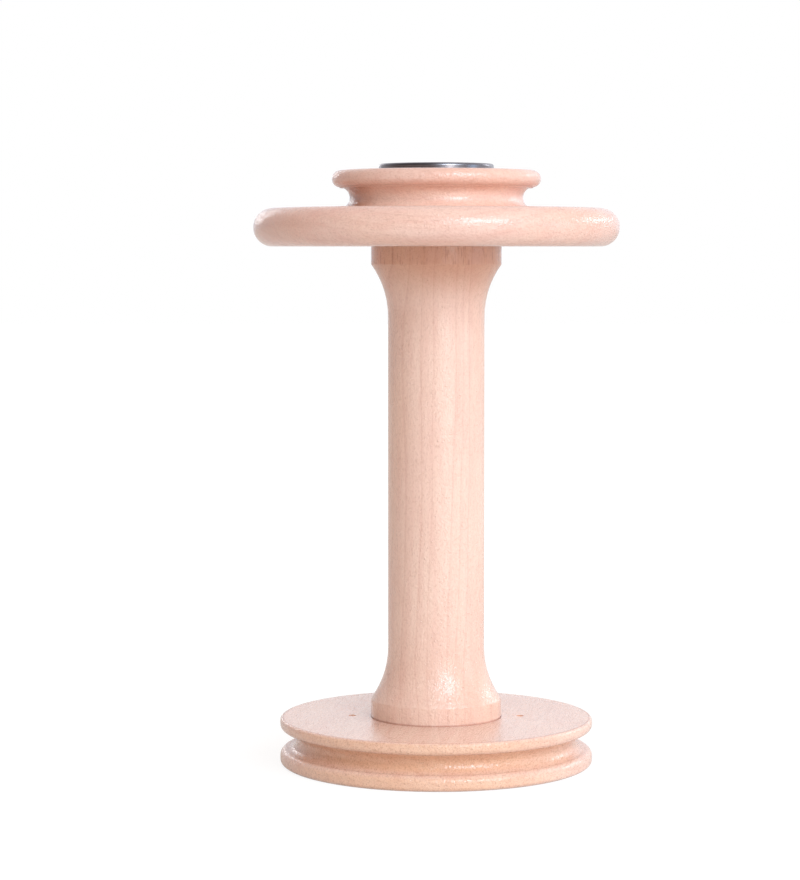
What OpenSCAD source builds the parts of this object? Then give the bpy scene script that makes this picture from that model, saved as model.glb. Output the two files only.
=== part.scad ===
// A bobbin for a spinning wheel: a turned barrel, glued at one end into a flange that carries a
// small grooved whorl, and at the other into a larger grooved whorl. A shielded ball bearing in
// each end lets it run freely on the shaft of the flyer.
// Millimetres. It stands on the large whorl, with its own axis on Z and its foot at Z = 0.

/* [Whole bobbin] */
// Height over all, from the foot to the face of the upper bearing
bobbin_h = 115; // [100:1:160]
// Diameter of the flyer's shaft, which is the bore of both bearings
shaft_d = 8; // [7.6:0.1:8.4]

/* [Flange] */
// Diameter of the flange that keeps the yarn on the barrel
flange_d = 70; // [60:1:90]
// Thickness of the flange, whose rim is fully rounded
flange_t = 7.3; // [6.6:0.1:9]

/* [Small whorl] */
// Diameter of the small whorl
small_whorl_d = 40; // [38:0.5:50]
// Width of its groove for the drive band
small_groove_w = 4; // [3.4:0.1:4.6]
// Depth of that groove, which has a round bottom
small_groove_depth = 3.4; // [3:0.1:4.4]
// Thickness of the fully rounded rim above the groove
small_rim_t = 3.2; // [2.8:0.1:4]

/* [Large whorl] */
// Diameter of the large whorl
large_whorl_d = 60; // [54:1:80]
// Thickness of the large whorl
large_whorl_t = 8.9; // [8.4:0.1:11]
// Width of its groove for the drive band
large_groove_w = 3.8; // [3.4:0.1:4.2]
// Depth of that groove, which has a round bottom
large_groove_depth = 3.2; // [3:0.1:5]
// Thickness of the rim below the groove
large_foot_rim_t = 2.85; // [2.5:0.05:3.2]
// Rounding of the foot's corner
foot_round = 0.9; // [0.4:0.1:1.1]
// Rounding of the lip below the groove, which meets the groove in one smooth line
lower_lip_round = 1.3; // [0.6:0.1:1.3]
// Rounding of the lip above the groove
upper_lip_round = 1; // [0.4:0.1:1.1]
// Rounding of the corner of the upper face
top_round = 0.65; // [0.3:0.05:0.8]
// Distance between the two marks that the lathe's driving pins left in its upper face
pin_mark_spacing = 32.3; // [30:0.1:40]
// Diameter of such a mark
pin_mark_d = 1.5; // [1:0.1:2]
// Depth of such a mark
pin_mark_depth = 0.6; // [0.2:0.1:1]

/* [Barrel] */
// Diameter of the rod that the barrel is turned from, left full at both ends
rod_d = 25; // [24.6:0.1:27]
// Diameter of the barrel between the ends
barrel_d = 18.5; // [17:0.1:20]
// Height of the full-size land that stands clear of each end piece
land_h = 3.4; // [1:0.1:8]
// Radius of the cove that runs from each land down to the barrel
cove_r = 17; // [12:0.5:24]
// Bore of the barrel, which clears the shaft
barrel_bore_d = 11; // [10:0.1:12]
// Chamfer round the end of the rod that goes into the flange
rod_chamfer = 0.6; // [0.2:0.1:1]

/* [Bearing seats] */
// How far the upper bearing stands above the small whorl
bearing_proud = 1.25; // [0.6:0.05:2]
// How far the lower bearing sits above the foot
bearing_recess = 0.25; // [0.1:0.05:0.5]
// Thickness of wood left between the upper bearing and the end of the rod
web_t = 1.5; // [1:0.1:2.5]
// Diameter of the clearance that keeps the wood off the inner rings
relief_d = 16; // [14:0.2:17]
// Depth of that clearance below the lower bearing's seat
relief_h = 1; // [0.5:0.1:3]

/* [Bearing] */
// Outside diameter of a bearing
bearing_d = 22; // [21.6:0.1:22.4]
// Width of a bearing
bearing_w = 7; // [6.8:0.1:7.4]
// Diameter of a ball
ball_d = 3.969; // [3.8:0.001:4.1]
// Number of balls in each bearing
ball_count = 7; // [6:1:7]
// Radius of the raceways in ball diameters
race_ratio = 0.52; // [0.515:0.005:0.54]
// Height of the shoulders beside the raceways
shoulder_h = 0.5; // [0.3:0.05:0.7]
// Rounding of the corners of both rings
ring_round = 0.5; // [0.1:0.05:0.6]
// Thickness of a shield's sheet
shield_t = 0.3; // [0.2:0.05:0.4]
// Thickness of a shield's rolled rim
shield_rim_d = 0.5; // [0.4:0.05:0.6]
// How far a shield lies below the faces of the rings
shield_recess = 0.4; // [0.3:0.05:0.6]
// Width of the step in the outer ring that a shield rests on
shield_step = 0.55; // [0.4:0.05:0.7]
// Thickness of the cage's sheet
cage_t = 0.35; // [0.2:0.05:0.4]
// Width of the cage's ribbon
cage_w = 2.1; // [1.8:0.05:2.2]
// Diameter of a cage rivet's shank
rivet_d = 0.7; // [0.5:0.05:0.8]
// Diameter of a cage rivet's heads
rivet_head_d = 1.2; // [1:0.05:1.3]
// Height of a cage rivet's heads
rivet_head_h = 0.3; // [0.2:0.05:0.4]

/* [Fits] */
// Gap all round a glued joint
glue_gap = 0.05; // [0.03:0.01:0.15]
// Gap all round a bearing in its seat
seat_gap = 0.02; // [0.01:0.005:0.05]
// Gap between a ball and the bottom of each raceway
ball_play = 0.015; // [0.01:0.001:0.02]
// Gap between a ball and its pocket in the cage
pocket_play = 0.1; // [0.05:0.01:0.15]
// Gap between a shield and the inner ring
shield_gap = 0.25; // [0.15:0.05:0.35]
// Gap round a shield in its step, and round a rivet in its hole
small_gap = 0.02; // [0.01:0.01:0.04]

/* [Hidden] */
ends = ["upper", "lower"];
$fn = 96;
// How far a cut runs past the surface that it opens
past = 0.5;

// The cove is a circle that touches the barrel and meets the land's edge
cove_centre_r = barrel_d / 2 + cove_r;
cove_height = sqrt(cove_r * cove_r - pow(cove_centre_r - rod_d / 2, 2));

// Heights, from the foot up
small_whorl_top = bobbin_h - bearing_proud;
flange_top = small_whorl_top - small_rim_t - small_groove_w;
flange_foot = flange_top - flange_t;
upper_bearing_z = bobbin_h - bearing_w;
lower_bearing_z = bearing_recess;
rod_top = upper_bearing_z - web_t;
waist_low = large_whorl_t + land_h + cove_height;
waist_high = flange_foot - land_h - cove_height;

// A lip of the large whorl's groove is no rounder than the straight part of its wall is long
longest_lip = large_groove_depth - large_groove_w / 2;

// Holes in the wood
socket_r = rod_d / 2 + glue_gap;
seat_r = bearing_d / 2 + seat_gap;

// Bearing, from its own lower face up
pitch_r = (bearing_d + shaft_d) / 4;
race_r = race_ratio * ball_d;
inner_race_r = pitch_r - ball_d / 2 - ball_play;
outer_race_r = pitch_r + ball_d / 2 + ball_play;
inner_shoulder_r = inner_race_r + shoulder_h;
outer_shoulder_r = outer_race_r - shoulder_h;
shield_out_r = outer_shoulder_r + shield_step;
shield_in_r = inner_shoulder_r + shield_gap;
shield_rim_r = shield_out_r - shield_rim_d / 2;
pocket_r = ball_d / 2 + pocket_play;
cage_in_r = pitch_r - cage_w / 2;
cage_out_r = pitch_r + cage_w / 2;

wood_colour = [0.95, 0.79, 0.71];
whorl_colour = [0.93, 0.76, 0.64];
ring_colour = [0.45, 0.44, 0.46];
inner_ring_colour = [0.62, 0.62, 0.65];
shield_colour = [0.35, 0.35, 0.37];
cage_colour = [0.72, 0.7, 0.62];
ball_colour = [0.82, 0.83, 0.86];

// Cuts the corner at radius r and height z to a round one. side is 1 where the solid lies inside
// r and -1 where it lies outside it, and up is 1 on an upper corner and -1 on a lower one.
module round_off(r, z, radius, side, up) {
    difference() {
        translate([side > 0 ? r - radius : r - past, up > 0 ? z - radius : z - past])
            square(radius + past);
        translate([r - side * radius, z - up * radius]) circle(radius);
    }
}

// A round-bottomed groove for a drive band, cut in from the rim at radius r
module band_groove(r, foot_z, width, depth) {
    round_r = r - depth + width / 2;
    translate([round_r, foot_z + width / 2]) circle(d = width);
    translate([round_r, foot_z]) square([depth, width]);
}

// Wood

// One rod, turned down between its ends. It reaches through the large whorl to the foot, where it
// holds the lower bearing, and its other end is glued into the flange.
module barrel() {
    seat_top = lower_bearing_z + bearing_w;
    color(wood_colour) rotate_extrude() difference() {
        translate([barrel_bore_d / 2, 0]) square([(rod_d - barrel_bore_d) / 2, rod_top]);
        translate([barrel_d / 2, waist_low]) square([cove_r, waist_high - waist_low]);
        translate([cove_centre_r, waist_low]) circle(cove_r);
        translate([cove_centre_r, waist_high]) circle(cove_r);
        translate([0, -past]) square([seat_r, seat_top + past]);
        square([relief_d / 2, seat_top + relief_h]);
        polygon([
            [rod_d / 2 - rod_chamfer, rod_top],
            [rod_d / 2, rod_top - rod_chamfer],
            [rod_d / 2 + past, rod_top - rod_chamfer],
            [rod_d / 2 + past, rod_top + past],
            [rod_d / 2 - rod_chamfer, rod_top + past]
        ]);
    }
}

// Flange and small whorl, turned from one piece of wood
module upper_flange() {
    small_r = small_whorl_d / 2;
    color(wood_colour) rotate_extrude() difference() {
        union() {
            translate([0, flange_foot]) square([flange_d / 2, flange_t]);
            translate([0, flange_foot]) square([small_r, small_whorl_top - flange_foot]);
        }
        round_off(flange_d / 2, flange_top, flange_t / 2, 1, 1);
        round_off(flange_d / 2, flange_foot, flange_t / 2, 1, -1);
        round_off(small_r, small_whorl_top, small_rim_t / 2, 1, 1);
        round_off(small_r, small_whorl_top - small_rim_t, small_rim_t / 2, 1, -1);
        band_groove(small_r, flange_top, small_groove_w, small_groove_depth);
        translate([0, upper_bearing_z]) square([seat_r, bearing_w]);
        translate([0, flange_foot - past]) square([relief_d / 2, bobbin_h - flange_foot]);
        translate([0, flange_foot - past]) square([socket_r, rod_top - flange_foot + past]);
    }
}

// Large whorl, a grooved ring glued round the rod
module lower_whorl() {
    whorl_r = large_whorl_d / 2;
    groove_top = large_foot_rim_t + large_groove_w;
    color(whorl_colour) difference() {
        rotate_extrude() difference() {
            translate([socket_r, 0]) square([whorl_r - socket_r, large_whorl_t]);
            band_groove(whorl_r, large_foot_rim_t, large_groove_w, large_groove_depth);
            round_off(whorl_r, 0, foot_round, 1, -1);
            round_off(whorl_r, large_foot_rim_t, min(lower_lip_round, longest_lip), 1, 1);
            round_off(whorl_r, groove_top, min(upper_lip_round, longest_lip), 1, -1);
            round_off(whorl_r, large_whorl_t, top_round, 1, 1);
        }
        for (side = [-1, 1])
            translate([side * pin_mark_spacing / 2, 0, large_whorl_t - pin_mark_depth])
                cylinder(d = pin_mark_d, h = pin_mark_depth + past);
    }
}

// Bearing, each piece drawn with the bearing's lower face at Z = 0

module outer_ring() {
    step_h = shield_recess + shield_t;
    color(ring_colour) rotate_extrude() difference() {
        translate([outer_shoulder_r, 0]) square([bearing_d / 2 - outer_shoulder_r, bearing_w]);
        translate([outer_race_r - race_r, bearing_w / 2]) circle(race_r);
        for (z = [-past, bearing_w - step_h])
            translate([0, z]) square([shield_out_r + small_gap, step_h + (z < 0 ? past : 2 * past)]);
        round_off(bearing_d / 2, bearing_w, ring_round, 1, 1);
        round_off(bearing_d / 2, 0, ring_round, 1, -1);
    }
}

module inner_ring() {
    color(inner_ring_colour) rotate_extrude() difference() {
        translate([shaft_d / 2, 0]) square([inner_shoulder_r - shaft_d / 2, bearing_w]);
        translate([inner_race_r + race_r, bearing_w / 2]) circle(race_r);
        round_off(shaft_d / 2, bearing_w, ring_round, -1, 1);
        round_off(shaft_d / 2, 0, ring_round, -1, -1);
        round_off(inner_shoulder_r, bearing_w, ring_round / 2, 1, 1);
        round_off(inner_shoulder_r, 0, ring_round / 2, 1, -1);
    }
}

module place_balls() {
    for (i = [1:ball_count])
        rotate([0, 0, 360 / ball_count * (i - 1)]) translate([pitch_r, 0, 0]) children();
}

module ball(i) {
    color(ball_colour) rotate([0, 0, 360 / ball_count * (i - 1)])
        translate([pitch_r, 0, bearing_w / 2]) sphere(d = ball_d);
}

// One half of the ribbon cage, lying on Z = 0: flat webs that the rivets join to the other half,
// and a domed pocket over each ball
module cage_half() {
    dome_r = pocket_r + cage_t;
    difference() {
        intersection() {
            union() {
                cylinder(r = cage_out_r + past, h = cage_t);
                place_balls() sphere(r = dome_r);
            }
            difference() {
                cylinder(r = cage_out_r, h = dome_r + past);
                translate([0, 0, -past]) cylinder(r = cage_in_r, h = dome_r + 3 * past);
            }
        }
        place_balls() sphere(r = pocket_r);
        rotate([0, 0, 180 / ball_count]) place_balls()
            translate([0, 0, -past]) cylinder(d = rivet_d + 2 * small_gap, h = cage_t + 2 * past);
    }
}

module cage_top() {
    color(cage_colour) translate([0, 0, bearing_w / 2]) cage_half();
}

module cage_base() {
    color(cage_colour) translate([0, 0, bearing_w / 2]) mirror([0, 0, 1]) cage_half();
}

module cage_rivets() {
    head_z = cage_t + rivet_head_h;
    head_round = rivet_head_h * 0.8;
    color(ring_colour) translate([0, 0, bearing_w / 2]) rotate([0, 0, 180 / ball_count])
        place_balls() rotate_extrude() difference() {
            translate([0, -head_z]) square([rivet_head_d / 2, 2 * head_z]);
            translate([rivet_d / 2, -cage_t]) square([rivet_head_d, 2 * cage_t]);
            round_off(rivet_head_d / 2, head_z, head_round, 1, 1);
            round_off(rivet_head_d / 2, -head_z, head_round, 1, -1);
        }
}

// A sheet with a rolled rim, resting on the lower step of the outer ring
module shield() {
    color(shield_colour) rotate_extrude() {
        translate([shield_in_r, shield_recess]) square([shield_rim_r - shield_in_r, shield_t]);
        translate([shield_rim_r, shield_recess + shield_t - shield_rim_d / 2])
            circle(d = shield_rim_d);
    }
}

module shield_base() {
    shield();
}

module shield_top() {
    translate([0, 0, bearing_w]) mirror([0, 0, 1]) shield();
}

module at_bearing(end) {
    translate([0, 0, end == "upper" ? upper_bearing_z : lower_bearing_z]) children();
}

barrel();
upper_flange();
lower_whorl();
for (end = ends) {
    name = str(end, "_bearing_");
    at_bearing(end) outer_ring();
    at_bearing(end) inner_ring();
    at_bearing(end) cage_top();
    at_bearing(end) cage_base();
    at_bearing(end) cage_rivets();
    at_bearing(end) shield_top();
    at_bearing(end) shield_base();
    for (i = [1:ball_count])
        at_bearing(end) ball(i);
}
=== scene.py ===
import math

import bmesh
import bpy
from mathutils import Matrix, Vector


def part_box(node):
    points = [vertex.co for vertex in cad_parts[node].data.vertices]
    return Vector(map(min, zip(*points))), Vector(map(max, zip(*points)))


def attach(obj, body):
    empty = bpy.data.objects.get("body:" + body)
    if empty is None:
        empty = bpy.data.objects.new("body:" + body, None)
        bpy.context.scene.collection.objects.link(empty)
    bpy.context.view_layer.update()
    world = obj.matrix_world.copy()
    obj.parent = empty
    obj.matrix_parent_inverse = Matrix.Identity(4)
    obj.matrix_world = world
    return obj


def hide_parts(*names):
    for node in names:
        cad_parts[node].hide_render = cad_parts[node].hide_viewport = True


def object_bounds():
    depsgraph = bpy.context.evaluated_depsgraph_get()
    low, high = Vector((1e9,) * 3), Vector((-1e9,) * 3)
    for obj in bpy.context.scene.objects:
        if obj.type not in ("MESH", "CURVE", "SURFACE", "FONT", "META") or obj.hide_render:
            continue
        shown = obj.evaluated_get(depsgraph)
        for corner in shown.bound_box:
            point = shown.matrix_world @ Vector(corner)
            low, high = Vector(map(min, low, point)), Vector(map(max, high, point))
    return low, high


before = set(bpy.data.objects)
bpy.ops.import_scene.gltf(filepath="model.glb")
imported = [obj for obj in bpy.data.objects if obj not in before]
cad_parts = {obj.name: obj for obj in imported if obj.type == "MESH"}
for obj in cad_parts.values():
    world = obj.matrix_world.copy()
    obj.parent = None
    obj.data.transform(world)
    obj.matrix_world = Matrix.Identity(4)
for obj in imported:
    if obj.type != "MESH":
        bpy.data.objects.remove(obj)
cad_low, cad_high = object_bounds()

MM = 0.001
ENDS = ("upper", "lower")
BALLS = 7

# Sizes of the turned wood that the frame's boxes don't give
BARREL_R = 9.25 * MM
LAND_H = 3.4 * MM
COVE_R = 17 * MM
BARREL_BORE_R = 5.5 * MM
ROD_CHAMFER = 0.6 * MM
RELIEF_R = 8 * MM
RELIEF_H = 1 * MM
FLANGE_T = 7.3 * MM
SMALL_WHORL_R = 20 * MM
SMALL_RIM_T = 3.2 * MM
SMALL_GROOVE = {"width": 4 * MM, "depth": 3.4 * MM}
LARGE_GROOVE = {"width": 3.8 * MM, "depth": 3.2 * MM}
LARGE_FOOT_RIM_T = 2.85 * MM
FOOT_ROUND = 0.9 * MM
LOWER_LIP_ROUND = 1.3 * MM
UPPER_LIP_ROUND = 1 * MM
TOP_ROUND = 0.65 * MM
PIN_MARK_SPACING = 32.3 * MM
PIN_MARK_R = 0.75 * MM
PIN_MARK_DEPTH = 0.6 * MM
GLUE_GAP = 0.05 * MM
SEAT_GAP = 0.02 * MM

# Sanded softness of the wood's corners. A corner is an edge that turns by more than CORNER_FROM
# degrees, and an edge that turns by more than CRISP_FROM is shaded as a crisp one.
SOFT_CORNER = 0.12 * MM
CORNER_FROM = 20
CRISP_FROM = 35

# How finely the pieces are turned and drilled. An arc's steps are in degrees.
TURN_STEPS = 256
ARC_STEP = 6
SOFT_STEPS = 3
DRILL_SIDES = 32

# How near two points or radii have to be to count as one
SAME = 1e-7
SAME_RADIUS = 1e-6


# Turned pieces

class Outline:
    """Half of a turned piece's section, as points of radius and height joined in order."""

    def __init__(self):
        self.points = []

    def to(self, radius, height):
        self.points.append((radius, height))

    def arc(self, centre, radius, start, end):
        """An arc about centre from the angle start to the angle end, both in degrees."""
        steps = max(2, math.ceil(abs(end - start) / ARC_STEP))
        for i in range(steps + 1):
            turn = math.radians(start + (end - start) * i / steps)
            self.to(centre[0] + radius * math.cos(turn), centre[1] + radius * math.sin(turn))


def is_corner(edge):
    """True for an edge that runs round the axis where the outline turns sharply. The mouth of a
    glued joint isn't one, because it is left crisp."""
    a, b = (v.co for v in edge.verts)
    level = abs(a.z - b.z) < SAME and abs(a.xy.length - b.xy.length) < SAME
    glued = abs(a.xy.length - socket_r) < SAME_RADIUS
    return level and not glued and math.degrees(edge.calc_face_angle(0)) > CORNER_FROM


def lathe(name, outline):
    """Turns a closed outline about the Z axis, softens its corners and makes it an object."""
    shape = bmesh.new()
    points = [shape.verts.new((r, 0, z)) for r, z in outline.points]
    sides = [shape.edges.new(pair) for pair in zip(points, points[1:] + points[:1])]
    bmesh.ops.spin(
        shape, geom=points + sides, cent=(0, 0, 0), axis=(0, 0, 1), angle=math.tau,
        steps=TURN_STEPS, use_merge=True
    )
    bmesh.ops.remove_doubles(shape, verts=shape.verts[:], dist=SAME)
    bmesh.ops.recalc_face_normals(shape, faces=shape.faces[:])
    bmesh.ops.bevel(
        shape, geom=[e for e in shape.edges if is_corner(e)], offset=SOFT_CORNER,
        affect="EDGES", segments=SOFT_STEPS, profile=0.5, material=-1
    )
    return finish_piece(name, shape)


def finish_piece(name, shape):
    """Makes an object of a mesh, smooth but for its crisp edges."""
    for face in shape.faces:
        face.smooth = True
    for edge in shape.edges:
        edge.smooth = math.degrees(edge.calc_face_angle(0)) < CRISP_FROM
    mesh = bpy.data.meshes.new(name)
    shape.to_mesh(mesh)
    shape.free()
    piece = bpy.data.objects.new(name, mesh)
    bpy.context.scene.collection.objects.link(piece)
    return piece


def drill(piece, radius, depth, spots):
    """Drills shallow round holes down into a piece. spots are the middles of their mouths."""
    name = piece.name
    bits = bmesh.new()
    for spot in spots:
        bit = bmesh.ops.create_cone(
            bits, cap_ends=True, segments=DRILL_SIDES, radius1=radius, radius2=radius,
            depth=2 * depth
        )
        bmesh.ops.translate(bits, verts=bit["verts"], vec=spot)
    bits = finish_piece("drill_bits", bits)
    cut = piece.modifiers.new("drill", "BOOLEAN")
    cut.operation = "DIFFERENCE"
    cut.solver = "EXACT"
    cut.object = bits
    shape = bmesh.new()
    shape.from_object(piece, bpy.context.evaluated_depsgraph_get())
    for old in (piece, bits):
        bpy.data.objects.remove(old)
    bpy.data.meshes.remove(bpy.data.meshes[name])
    return finish_piece(name, shape)


rod_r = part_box("barrel")[1].x
rod_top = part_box("barrel")[1].z
flange_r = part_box("upper_flange")[1].x
flange_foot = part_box("upper_flange")[0].z
small_whorl_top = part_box("upper_flange")[1].z
large_whorl_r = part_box("lower_whorl")[1].x
large_whorl_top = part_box("lower_whorl")[1].z
seat_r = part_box("upper_bearing_outer_ring")[1].x + SEAT_GAP
upper_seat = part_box("upper_bearing_outer_ring")[0].z
lower_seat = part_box("lower_bearing_outer_ring")[1].z
socket_r = rod_r + GLUE_GAP


def turn_barrel():
    cove_r = BARREL_R + COVE_R
    cove_turn = math.degrees(math.acos((cove_r - rod_r) / COVE_R))
    cove_h = COVE_R * math.sin(math.radians(cove_turn))
    waist_low = large_whorl_top + LAND_H + cove_h
    waist_high = flange_foot - LAND_H - cove_h
    line = Outline()
    line.to(seat_r, 0)
    line.to(rod_r, 0)
    line.arc((cove_r, waist_low), COVE_R, 180 + cove_turn, 180)
    line.arc((cove_r, waist_high), COVE_R, 180, 180 - cove_turn)
    line.to(rod_r, rod_top - ROD_CHAMFER)
    line.to(rod_r - ROD_CHAMFER, rod_top)
    line.to(BARREL_BORE_R, rod_top)
    line.to(BARREL_BORE_R, lower_seat + RELIEF_H)
    line.to(RELIEF_R, lower_seat + RELIEF_H)
    line.to(RELIEF_R, lower_seat)
    line.to(seat_r, lower_seat)
    return lathe("turned_barrel", line)


def turn_upper_flange():
    half_t = FLANGE_T / 2
    flange_top = flange_foot + FLANGE_T
    rim = (SMALL_WHORL_R - SMALL_RIM_T / 2, small_whorl_top - SMALL_RIM_T / 2)
    groove_r = SMALL_GROOVE["width"] / 2
    groove = (SMALL_WHORL_R - SMALL_GROOVE["depth"] + groove_r, flange_top + groove_r)
    # The groove runs into the rim above it where the line between their centres crosses them
    meet = math.degrees(math.atan2(rim[1] - groove[1], rim[0] - groove[0]))
    line = Outline()
    line.to(socket_r, flange_foot)
    line.arc((flange_r - half_t, flange_foot + half_t), half_t, -90, 90)
    line.arc(groove, groove_r, 270, meet)
    line.arc(rim, SMALL_RIM_T / 2, meet - 180, 90)
    line.to(seat_r, small_whorl_top)
    line.to(seat_r, upper_seat)
    line.to(RELIEF_R, upper_seat)
    line.to(RELIEF_R, rod_top)
    line.to(socket_r, rod_top)
    return lathe("turned_upper_flange", line)


def turn_lower_whorl():
    groove_r = LARGE_GROOVE["width"] / 2
    groove = (large_whorl_r - LARGE_GROOVE["depth"] + groove_r, LARGE_FOOT_RIM_T + groove_r)
    groove_top = LARGE_FOOT_RIM_T + LARGE_GROOVE["width"]
    lower_lip = (large_whorl_r - LOWER_LIP_ROUND, LARGE_FOOT_RIM_T - LOWER_LIP_ROUND)
    upper_lip = (large_whorl_r - UPPER_LIP_ROUND, groove_top + UPPER_LIP_ROUND)
    line = Outline()
    line.to(socket_r, 0)
    line.arc((large_whorl_r - FOOT_ROUND, FOOT_ROUND), FOOT_ROUND, -90, 0)
    line.arc(lower_lip, LOWER_LIP_ROUND, 0, 90)
    line.arc(groove, groove_r, 270, 90)
    line.arc(upper_lip, UPPER_LIP_ROUND, -90, 0)
    line.arc((large_whorl_r - TOP_ROUND, large_whorl_top - TOP_ROUND), TOP_ROUND, 0, 90)
    line.to(socket_r, large_whorl_top)
    whorl = lathe("turned_lower_whorl", line)
    marks = [(side * PIN_MARK_SPACING / 2, 0, large_whorl_top) for side in (-1, 1)]
    return drill(whorl, PIN_MARK_R, PIN_MARK_DEPTH, marks)


# Materials

def tint(red, green, blue):
    """A colour as it is seen, on a scale of 255, as the shader's linear colour."""
    parts = []
    for part in (red, green, blue):
        c = part / 255
        parts.append(c / 12.92 if c <= 0.04045 else ((c + 0.055) / 1.055) ** 2.4)
    return (*parts, 1)


def shaded(colour, share):
    """A colour made darker or lighter, by a share of it."""
    return (*(min(1, part * share) for part in colour[:3]), 1)


class Value:
    """A shader socket that takes part in sums like a number."""

    def __init__(self, nodes, socket):
        self.nodes = nodes
        self.socket = socket

    def maths(self, operation, *numbers):
        return self.nodes.node("ShaderNodeMath", {"operation": operation}, numbers)

    def __add__(self, other):
        return self.maths("ADD", self, other)

    def __radd__(self, other):
        return self.maths("ADD", other, self)

    def __sub__(self, other):
        return self.maths("SUBTRACT", self, other)

    def __rsub__(self, other):
        return self.maths("SUBTRACT", other, self)

    def __mul__(self, other):
        return self.maths("MULTIPLY", self, other)

    def __rmul__(self, other):
        return self.maths("MULTIPLY", other, self)

    def __truediv__(self, other):
        return self.maths("DIVIDE", self, other)

    def __pow__(self, other):
        return self.maths("POWER", self, other)

    def __abs__(self):
        return self.maths("ABSOLUTE", self)

    def root(self):
        return self.maths("SQRT", self)

    def fraction(self):
        return self.maths("FRACT", self)

    def above(self, level):
        return self.maths("GREATER_THAN", self, level)

    def or_more(self, other):
        """The larger of the two."""
        return self.maths("MAXIMUM", self, other)

    def rise(self, low, high):
        """Goes smoothly from 0 at low to 1 at high."""
        return self.nodes.node(
            "ShaderNodeMapRange", {"interpolation_type": "SMOOTHSTEP"}, [self, low, high, 0.0, 1.0]
        )


class Nodes:
    """The nodes of a material or of the world."""

    def __init__(self, owner):
        owner.use_nodes = True
        self.tree = owner.node_tree
        self.tree.nodes.clear()

    def node(self, kind, settings=None, inputs=(), output=0):
        """Adds a node, sets it, fills its sockets by order or by name, and gives an output."""
        made = self.tree.nodes.new(kind)
        for key, setting in (settings or {}).items():
            setattr(made, key, setting)
        for key, given in inputs.items() if isinstance(inputs, dict) else enumerate(inputs):
            if isinstance(given, Value):
                self.tree.links.new(given.socket, made.inputs[key])
            else:
                made.inputs[key].default_value = given
        return Value(self, made.outputs[output]) if made.outputs else None

    def vector(self, operation, *inputs):
        return self.node("ShaderNodeVectorMath", {"operation": operation}, inputs)

    def parts(self, point):
        """The three numbers of a point."""
        return [self.node("ShaderNodeSeparateXYZ", None, [point], axis) for axis in "XYZ"]

    def rays(self):
        """Whether a ray comes from the camera, from a glossy surface or through a clear one."""
        kinds = ("Camera", "Glossy", "Transmission")
        return [self.node("ShaderNodeLightPath", output=f"Is {kind} Ray") for kind in kinds]

    def mix(self, factor, a, b, blend="MIX"):
        return self.node(
            "ShaderNodeMix", {"data_type": "RGBA", "blend_type": blend}, {0: factor, 6: a, 7: b}, 2
        )


class Finish(Nodes):
    """A material and the patterns that it is made of."""

    def __init__(self, name):
        self.material = bpy.data.materials.new(name)
        super().__init__(self.material)

    def turned(self, output, turn, scale):
        """A texture coordinate, turned by three angles in degrees and scaled."""
        return self.node(
            "ShaderNodeMapping", {"vector_type": "POINT"},
            {
                "Vector": self.node("ShaderNodeTexCoord", output=output),
                "Rotation": [math.radians(angle) for angle in turn],
                "Scale": (scale, scale, scale),
            }
        )

    def place(self, turn=(0, 0, 0)):
        """The point of the piece in millimetres, turned so that the grain runs along Z."""
        return self.turned("Object", turn, 1 / MM)

    def lie(self, turn):
        """Which way the surface faces, turned like the point."""
        return self.turned("Normal", turn, 1)

    def noise(self, point, per_mm, detail=2.0, roughness=0.5, output="Fac"):
        """Noise with so many lumps a millimetre along each of the three axes."""
        scaled = self.vector("MULTIPLY", point, per_mm)
        return self.node(
            "ShaderNodeTexNoise", {"noise_dimensions": "3D"},
            {"Vector": scaled, "Scale": 1.0, "Detail": detail, "Roughness": roughness}, output
        )

    def spots(self, point, per_mm, size, share):
        """Soft spots, one in each cell, in a share of the cells. size is a part of a cell."""
        scaled = self.vector("MULTIPLY", point, per_mm)
        cell = {"Vector": scaled, "Scale": 1.0}
        reach = self.node("ShaderNodeTexVoronoi", None, cell, "Distance")
        chance = self.parts(self.node("ShaderNodeTexVoronoi", None, cell, "Color"))[0]
        return (1 - reach.rise(size * 0.4, size)) * chance.above(1 - share)

    def bump(self, height, depth, under=None):
        """A relief of depth metres, laid on the relief under it."""
        inputs = {"Height": height, "Distance": depth, "Strength": 1.0}
        if under:
            inputs["Normal"] = under
        return self.node("ShaderNodeBump", None, inputs)

    def surface(self, **sockets):
        """Ends the material in a Principled shader with these sockets, named with underscores."""
        inputs = {key.replace("_", " "): given for key, given in sockets.items()}
        shader = self.node("ShaderNodeBsdfPrincipled", None, inputs)
        self.node("ShaderNodeOutputMaterial", None, [shader])
        return self.material


# Maple as it is seen in even light
MAPLE_PALE = tint(240, 208, 190)
MAPLE_PINK = tint(235, 197, 180)
MAPLE_LATE = tint(212, 164, 146)
MAPLE_WARM = tint(238, 188, 154)
MAPLE_FLECK = tint(170, 112, 90)
MAPLE_END = tint(228, 187, 170)
FLANGE_PALE = tint(235, 200, 184)
FLANGE_PINK = tint(230, 186, 170)
WHORL_PALE = tint(241, 209, 191)
WHORL_PINK = tint(237, 198, 180)
WHORL_END = tint(238, 187, 144)
GLUE_STAIN = tint(176, 108, 86)

# Tints that multiply the wood's colour: painted shade, used under the flange and at the small
# groove's left end, then painted shade in the large groove and painted light in the small one
PAINTED_SHADE = (0.79, 0.61, 0.49, 1)
PAINTED_GROOVE_SHADE = (0.95, 0.88, 0.8, 1)
PAINTED_GROOVE_LIGHT = (1.1, 1.14, 1.15, 1)

# Depths of the relief: the wood's pores, dust in the lacquer, its grit and its orange peel, and
# the fine rings of ground and of polished steel
PORE_DEPTH = 0.02 * MM
NIB_DEPTH = 0.05 * MM
GRIT_DEPTH = 0.05 * MM
PEEL_DEPTH = 0.11 * MM
GROUND_DEPTH = 0.004 * MM
POLISHED_DEPTH = 0.001 * MM

LACQUER_IOR = 1.5
LACQUER_SPECULAR = 0.75

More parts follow.
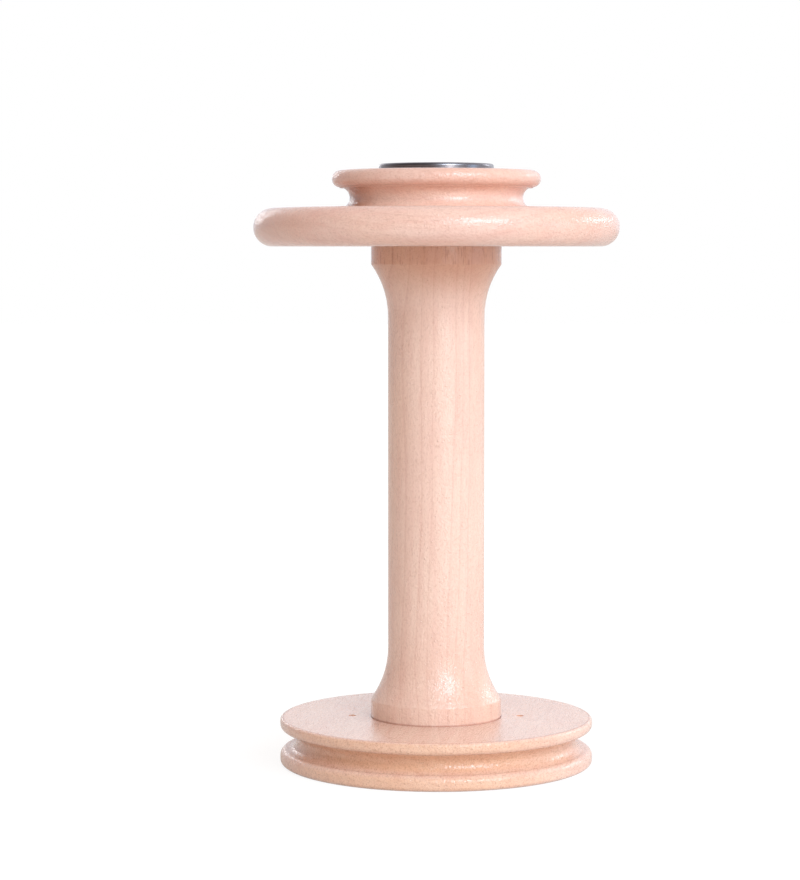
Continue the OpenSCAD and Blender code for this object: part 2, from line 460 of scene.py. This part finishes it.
# How far the growth rings wander, in millimetres, and how far their widths do, in rings
RING_DRIFT = 7.0
RING_UNEVEN = 3.0

# Half the height over which the streaks of the barrel's land begin, in millimetres
LAND_BLUR = 0.15


def maple(name, turn, heart, pale, pink, end, fleck_share, pores, grain, ring_w, lines,
          stains=(), under=None, groove=None):
    """Lacquered maple. turn lays the grain along Z, and heart is where the tree's middle was.
    pale, pink and end are the wood's colours, the last on end grain. fleck_share is how many
    cells have a fleck, pores how dark the pores are, and grain the lumps of the lacquer's grit a
    millimetre. ring_w is the growth rings' width and lines how dark their last growth is.
    stains are stained rings, each given as its radius, height, reach and strength. under is for
    painted shade at the barrel's top, under the flange: the colour is painted darker from its
    first height to its last, and the land above its middle one is streaked. groove gives a groove
    its painted light and shade."""
    wood = Finish(name)
    upright = wood.place()
    point = wood.place(turn)
    drift = wood.noise(point, (0.05, 0.05, 0.012), 2.0, 0.5, "Color")
    drift = wood.vector("SUBTRACT", drift, (0.5, 0.5, 0.5))
    warped = wood.vector("MULTIPLY_ADD", drift, (RING_DRIFT, RING_DRIFT, 0.0), point)
    across, through, _ = wood.parts(warped)

    # Growth rings: pale wood that darkens towards a thin line of last growth
    reach = ((across - heart[0]) ** 2 + (through - heart[1]) ** 2).root()
    uneven = wood.noise(wood.node("ShaderNodeCombineXYZ", None, [reach]), (0.16, 1.0, 1.0), 1.0)
    ring = (reach / ring_w + uneven * RING_UNEVEN).fraction()
    late = ring.rise(0.35, 0.9) * (1 - ring.rise(0.93, 1.0))
    last = ring.rise(0.84, 0.92) * (1 - ring.rise(0.95, 1.0))

    # Clouds and bands of colour, fine pores and vessels, the short dark flecks of the rays, and
    # the lacquer's grit, orange peel, pits and dust
    cloud = wood.noise(point, (0.11, 0.11, 0.035), 2.0, 0.55)
    warmth = wood.noise(point, (0.08, 0.08, 0.03), 1.0, 0.5)
    band = wood.noise(point, (0.75, 0.75, 0.05), 2.0, 0.5)
    pore = wood.noise(point, (3.6, 3.6, 1.5), 2.0, 0.6)
    fleck = wood.spots(point, (1.9, 1.9, 0.42), 0.17, fleck_share)
    vessel = wood.noise(point, (2.6, 2.6, 0.3), 1.0, 0.5).rise(0.58, 0.68)
    grit = wood.noise(point, grain, 1.0, 0.5)
    peel = wood.noise(upright, (1.7, 1.7, 1.7), 2.0, 0.6)
    pit = wood.spots(point, (3.2, 3.2, 2.2), 0.55, 0.6)
    nib = wood.spots(upright, (1.5, 1.5, 1.5), 0.28, 0.6)

    end_grain = abs(wood.parts(wood.lie(turn))[2]).rise(0.35, 0.95)

    colour = wood.mix(cloud.rise(0.36, 0.64) * 0.55 + band.rise(0.4, 0.66) * 0.45, pale, pink)
    colour = wood.mix(warmth.rise(0.48, 0.66) * 0.15, colour, MAPLE_WARM)
    colour = wood.mix(late * 0.1 + last * lines, colour, MAPLE_LATE)
    colour = wood.mix(end_grain * 0.45, colour, end)
    colour = wood.mix(pore.rise(0.46, 0.72) * pores, colour, MAPLE_FLECK)
    colour = wood.mix(vessel * (pores * 0.5), colour, MAPLE_FLECK)
    colour = wood.mix(fleck * 0.3, colour, MAPLE_FLECK)
    x, y, z = wood.parts(upright)
    out = (x * x + y * y).root()
    # Painted shade under the flange: the barrel's top is multiplied darker, patchy on the land,
    # and the land's vessels are streaked darker
    if under:
        low, land_foot, high = under
        land = z.rise(land_foot - LAND_BLUR, land_foot + LAND_BLUR)
        patchy_painted_shade = 1 - land * band.rise(0.38, 0.62) * 0.1
        colour = wood.mix(z.rise(low, high) * patchy_painted_shade, colour, PAINTED_SHADE, "MULTIPLY")
        colour = wood.mix(land * vessel * 0.35, colour, MAPLE_FLECK)
    # Painted light and shade in a groove: the large groove is painted darker, and the small one is
    # painted paler with a painted darker left end
    if groove:
        shade = groove["tint"]
        if "left" in groove:
            shade = wood.mix(x.rise(*groove["left"]), PAINTED_SHADE, shade)
        painted_groove_mask = out.rise(*groove["radius"]) * z.rise(*groove["foot"]) * (1 - z.rise(*groove["top"]))
        colour = wood.mix(painted_groove_mask, colour, shade, "MULTIPLY")
    for radius, height, spread, strength in stains:
        off = ((out - radius) ** 2 + (z - height) ** 2).root()
        colour = wood.mix((1 - off.rise(spread / 3, spread)) * strength, colour, GLUE_STAIN)

    relief = wood.bump(
        pore * 0.4 + band * 0.5 - fleck * 0.5 - pit * 1.1 - vessel * 0.6 + late * end_grain,
        PORE_DEPTH
    )
    relief = wood.bump(nib, NIB_DEPTH, relief)
    relief = wood.bump(grit * (0.65 + end_grain * 0.25), GRIT_DEPTH, relief)
    relief = wood.bump(peel, PEEL_DEPTH, relief)
    return wood.surface(
        Base_Color=colour, Roughness=0.07 + grit * 0.07 + fleck * 0.1, Normal=relief,
        IOR=LACQUER_IOR, Specular_IOR_Level=LACQUER_SPECULAR
    )


def steel(name, colour, rough, marks, depth=GROUND_DEPTH):
    """Ground or pressed steel with fine rings round the axis. marks is how many a millimetre."""
    metal = Finish(name)
    point = metal.place()
    x, y, z = metal.parts(point)
    reach = (x * x + y * y).root()
    round_axis = metal.node("ShaderNodeCombineXYZ", None, [reach, z])
    rings = metal.noise(round_axis, (marks, marks, 1.0), 3.0, 0.65)
    film = metal.noise(point, (0.5, 0.5, 0.5), 3.0, 0.6)
    nick = metal.spots(point, (1.1, 1.1, 1.1), 0.12, 0.2)
    worn = metal.mix(film.rise(0.35, 0.7) * 0.35, colour, shaded(colour, 0.72))
    worn = metal.mix(rings.rise(0.45, 0.75) * 0.25, worn, shaded(colour, 1.3))
    worn = metal.mix(nick * 0.4, worn, shaded(colour, 0.5))
    relief = metal.bump(rings - nick * 0.6, depth)
    return metal.surface(
        Base_Color=worn, Metallic=1.0, Roughness=rough + film * 0.12 + rings * 0.06, Normal=relief
    )


# Painted shade at the top of the barrel, under the flange: where it begins, where the land does,
# and where it is darkest
PAINTED_SHADE_UNDER_FLANGE = (88, (flange_foot - LAND_H) / MM, 96.5)

# Stained rings: glue that squeezed out round the foot of the barrel, and the worn upper edge of
# the large whorl
GLUE_LINE = (rod_r / MM, large_whorl_top / MM, 0.36, 0.5)
LIP_STAIN = (29.4, 8.8, 0.24, 0.55)

# Painted light and shade in the grooves. Going in, the tint grows between the two radii. Going up,
# it grows between the heights of the foot and fades between those of the top. The large groove has
# painted shade. The small groove has painted light, and painted shade at its left end that turns
# into the painted light between the two places across that left gives.
SMALL_GROOVE_PAINTED_LIGHT_AND_SHADE = {
    "tint": PAINTED_GROOVE_LIGHT, "radius": (19.4, 17.4), "foot": (106.4, 106.8), "top": (109.6, 111.2),
    "left": (-16.5, -10.5)
}
LARGE_GROOVE_PAINTED_SHADE = {
    "tint": PAINTED_GROOVE_SHADE, "radius": (29.6, 28.2), "foot": (2.4, 3.4), "top": (6.2, 7.0)
}

# Grain: up the barrel, from side to side in the flange, and away from the eye in the large whorl
barrel_maple = maple(
    "barrel_maple", turn=(0, 0, 0), heart=(150, 12),
    pale=MAPLE_PALE, pink=MAPLE_PINK, end=MAPLE_END,
    fleck_share=0.25, pores=0.16, grain=(3.2, 3.2, 2.4), ring_w=2.7, lines=0.18,
    stains=[GLUE_LINE], under=PAINTED_SHADE_UNDER_FLANGE
)
flange_maple = maple(
    "flange_maple", turn=(0, -90, 0), heart=(140, 46),
    pale=FLANGE_PALE, pink=FLANGE_PINK, end=MAPLE_END,
    fleck_share=0.3, pores=0.2, grain=(1.5, 2.8, 2.4), ring_w=2.2, lines=0.1,
    groove=SMALL_GROOVE_PAINTED_LIGHT_AND_SHADE
)
whorl_maple = maple(
    "whorl_maple", turn=(90, -7, 0), heart=(22, -58),
    pale=WHORL_PALE, pink=WHORL_PINK, end=WHORL_END,
    fleck_share=0.55, pores=0.34, grain=(2.8, 1.9, 2.4), ring_w=2.0, lines=0.12,
    stains=[GLUE_LINE, LIP_STAIN], groove=LARGE_GROOVE_PAINTED_SHADE
)

CAGE_STEEL = steel("pressed_cage_steel", tint(176, 168, 150), 0.3, 2.0)
SHIELD_STEEL = steel("shield_steel", tint(150, 150, 154), 0.27, 5.0)
BALL_STEEL = steel("polished_ball_steel", tint(214, 216, 222), 0.05, 0.6, POLISHED_DEPTH)
STEELS = {
    "outer_ring": steel("ground_ring_steel", tint(158, 152, 154), 0.2, 6.0),
    "inner_ring": steel("ground_inner_steel", tint(188, 188, 192), 0.16, 7.0),
    "cage_top": CAGE_STEEL,
    "cage_base": CAGE_STEEL,
    "cage_rivets": steel("rivet_steel", tint(160, 158, 156), 0.28, 3.0),
    "shield_top": SHIELD_STEEL,
    "shield_base": SHIELD_STEEL,
    **{f"ball_{i}": BALL_STEEL for i in range(1, BALLS + 1)},
}


def dress(node, material):
    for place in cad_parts[node].material_slots:
        place.material = material


def settle(piece, node, material):
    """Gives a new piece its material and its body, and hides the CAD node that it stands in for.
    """
    piece.data.materials.append(material)
    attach(piece, "bobbin")
    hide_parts(node)


settle(turn_barrel(), "barrel", barrel_maple)
settle(turn_upper_flange(), "upper_flange", flange_maple)
settle(turn_lower_whorl(), "lower_whorl", whorl_maple)
for end in ENDS:
    for piece, material in STEELS.items():
        dress(f"{end}_bearing_{piece}", material)


# Camera. Its tilt down and its turn to the left are in degrees, the lens and sensor in
# millimetres.

EYE_DISTANCE = 514 * MM
EYE_HEIGHT = 98.7 * MM
EYE_TILT = 2.4
EYE_PAN = 0.775
LENS = 109.76
SENSOR = 36
VIEW_SHIFT = -0.0889
NEAREST = 0.01
FARTHEST = 20


def aim_camera():
    lens = bpy.data.cameras.new("camera")
    lens.lens = LENS
    lens.sensor_width = SENSOR
    lens.shift_y = VIEW_SHIFT
    lens.clip_start = NEAREST
    lens.clip_end = FARTHEST
    camera = bpy.data.objects.new("camera", lens)
    camera.location = (0, -EYE_DISTANCE, EYE_HEIGHT)
    camera.rotation_euler = (math.radians(90 - EYE_TILT), 0, math.radians(EYE_PAN))
    bpy.context.scene.collection.objects.link(camera)
    bpy.context.scene.camera = camera


# Light

WHITE = (1, 1, 1, 1)
FILL = (0.82, 0.70, 0.63, 1)
LEFT_SHADE = 0.76

# What gloss mirrors of the room, and where front turns into side, and side into back
MIRRORED_FRONT = (0.12, 0.11, 0.11, 1)
MIRRORED_SIDE = (0.6, 0.62, 0.68, 1)
MIRRORED_BACK = (1.03, 1.08, 1.16, 1)
FRONT_TO_SIDE = (-0.55, 0.6)
SIDE_TO_BACK = (0.58, 1.0)

# Soft lights: azimuth, elevation, distance, width, height, radiance and colour
KEY_COLOUR = (0.79, 0.95, 1.11)
LIGHTS = {
    "key_light": (29, 29, 0.9, 0.84, 0.7, 1.1, KEY_COLOUR),
    "key_light_middle": (29, 29, 0.85, 0.44, 0.28, 6.4, KEY_COLOUR),
    "low_light": (28, 4, 0.9, 0.22, 0.34, 3.2, (1, 1, 1)),
    "side_light": (78, 4, 0.9, 0.3, 0.5, 1.15, (0.45, 0.75, 1.1)),
    "right_rim_light": (126, 19, 0.9, 0.2, 0.15, 7.0, (0.88, 0.97, 1.08)),
    "left_rim_light": (-159, 14, 0.9, 0.06, 0.26, 5.2, (1, 1, 1)),
}

# The floor glows for the camera, and in part for gloss. At the foot, where its shadow shows, it
# has a share of the glow, which grows to the whole between two distances in millimetres.
FLOOR_SIZE = 3
FLOOR_GREY = (0.72, 0.72, 0.72, 1)
FLOOR_GLOW = 1.12
MIRRORED_GLOW = 0.4
GLOW_AT_FOOT = 0.79
GLOW_REACH = (50, 120)


def softbox(name, azimuth, elevation, distance, width, height, radiance, colour):
    """A soft light that looks at the middle of the bobbin. Its azimuth and elevation are in
    degrees. Azimuth 0 is on the camera's side, and it grows to the right."""
    lamp = bpy.data.lights.new(name, "AREA")
    lamp.shape = "RECTANGLE"
    lamp.size = width
    lamp.size_y = height
    lamp.color = colour
    lamp.energy = radiance * math.pi * width * height
    box = bpy.data.objects.new(name, lamp)
    turn, lift = math.radians(azimuth), math.radians(elevation)
    out = Vector((
        math.sin(turn) * math.cos(lift), -math.cos(turn) * math.cos(lift), math.sin(lift)
    ))
    box.location = (cad_low + cad_high) / 2 + out * distance
    box.rotation_euler = out.to_track_quat("Z", "Y").to_euler()
    bpy.context.scene.collection.objects.link(box)


def light_world():
    """A white room, darker low on the left. Gloss mirrors its white back and its dark front."""
    world = bpy.data.worlds.new("white_room")
    room = Nodes(world)
    side, depth, height = room.parts(room.node("ShaderNodeTexCoord", output="Generated"))
    eye, glossy, clear = room.rays()
    level = 1 + side * (1 - height) * LEFT_SHADE
    fill = room.node("ShaderNodeVectorMath", {"operation": "SCALE"}, {0: FILL[:3], "Scale": level})
    from_front = (depth + side * 0.45).rise(*FRONT_TO_SIDE)
    from_side = (depth + side * 0.3).rise(*SIDE_TO_BACK)
    mirrored = room.mix(from_front, MIRRORED_FRONT, MIRRORED_SIDE)
    mirrored = room.mix(from_side, mirrored, MIRRORED_BACK)
    fill = room.mix(glossy, fill, mirrored)
    fill = room.mix(eye.or_more(clear), fill, WHITE)
    shade = room.node("ShaderNodeBackground", None, [fill, 1.0])
    room.node("ShaderNodeOutputWorld", None, [shade])
    bpy.context.scene.world = world


def lay_floor():
    """A white table that keeps the bobbin's shadow and runs into the white room."""
    shape = bmesh.new()
    bmesh.ops.create_grid(shape, x_segments=1, y_segments=1, size=FLOOR_SIZE)
    mesh = bpy.data.meshes.new("floor")
    shape.to_mesh(mesh)
    shape.free()
    floor = bpy.data.objects.new("floor", mesh)
    bpy.context.scene.collection.objects.link(floor)
    table = Finish("white_table")
    x, y, _ = table.parts(table.place())
    reach = (x * x + y * y).root()
    eye, glossy, clear = table.rays()
    seen = eye.or_more(clear).or_more(glossy * MIRRORED_GLOW)
    matt = table.node("ShaderNodeBsdfDiffuse", None, {"Color": FLOOR_GREY})
    glow = table.node("ShaderNodeEmission", None, {"Color": WHITE, "Strength": FLOOR_GLOW})
    share = (GLOW_AT_FOOT + reach.rise(*GLOW_REACH) * (1 - GLOW_AT_FOOT)) * seen
    shade = table.node("ShaderNodeMixShader", None, [share, matt, glow])
    table.node("ShaderNodeOutputMaterial", None, [shade])
    mesh.materials.append(table.material)


aim_camera()
light_world()
lay_floor()
for name, light in LIGHTS.items():
    softbox(name, *light)

scene = bpy.context.scene
scene.view_settings.view_transform = "Standard"
